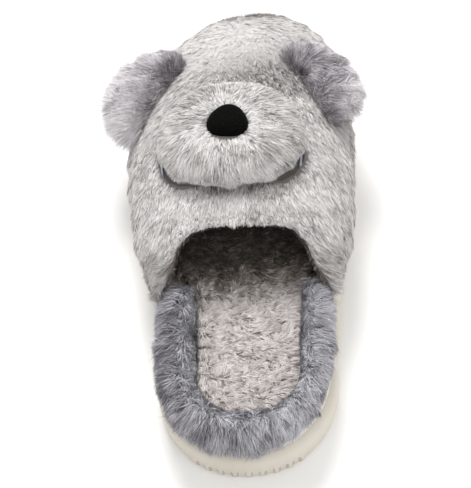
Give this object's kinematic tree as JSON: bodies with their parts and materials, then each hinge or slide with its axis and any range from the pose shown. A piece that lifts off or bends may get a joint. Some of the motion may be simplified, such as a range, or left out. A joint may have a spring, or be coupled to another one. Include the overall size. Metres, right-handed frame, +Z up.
{
  "type": "animal slipper",
  "caption": "Plush backless slipper with an animal's face and ears, a padded furry collar around the heel and a moulded cup sole with scalloped sides.",
  "frame": {"origin": "on the floor under the middle of the heel, at the centre of the heel's flat spot", "axes": "+Y to the toe, +X to the inner side of the foot, +Z up"},
  "size_m": [0.1302, 0.2676, 0.0901],
  "materials": {
    "sole_foam": "matte",
    "footbed_pile": "matte",
    "vamp_plush": "matte",
    "collar_plush": "matte",
    "muzzle_plush": "matte",
    "nose_flock": "matte",
    "eye_thread": "satin",
    "ear_plush": "matte"
  },
  "bodies": {
    "root": {"outsole": "sole_foam", "insole": "footbed_pile", "upper": "vamp_plush", "heel_collar": "collar_plush", "muzzle": "muzzle_plush", "nose": "nose_flock", "eye_medial": "eye_thread", "eye_lateral": "eye_thread", "ear_medial": "ear_plush", "ear_lateral": "ear_plush"}
  },
  "joints": []
}
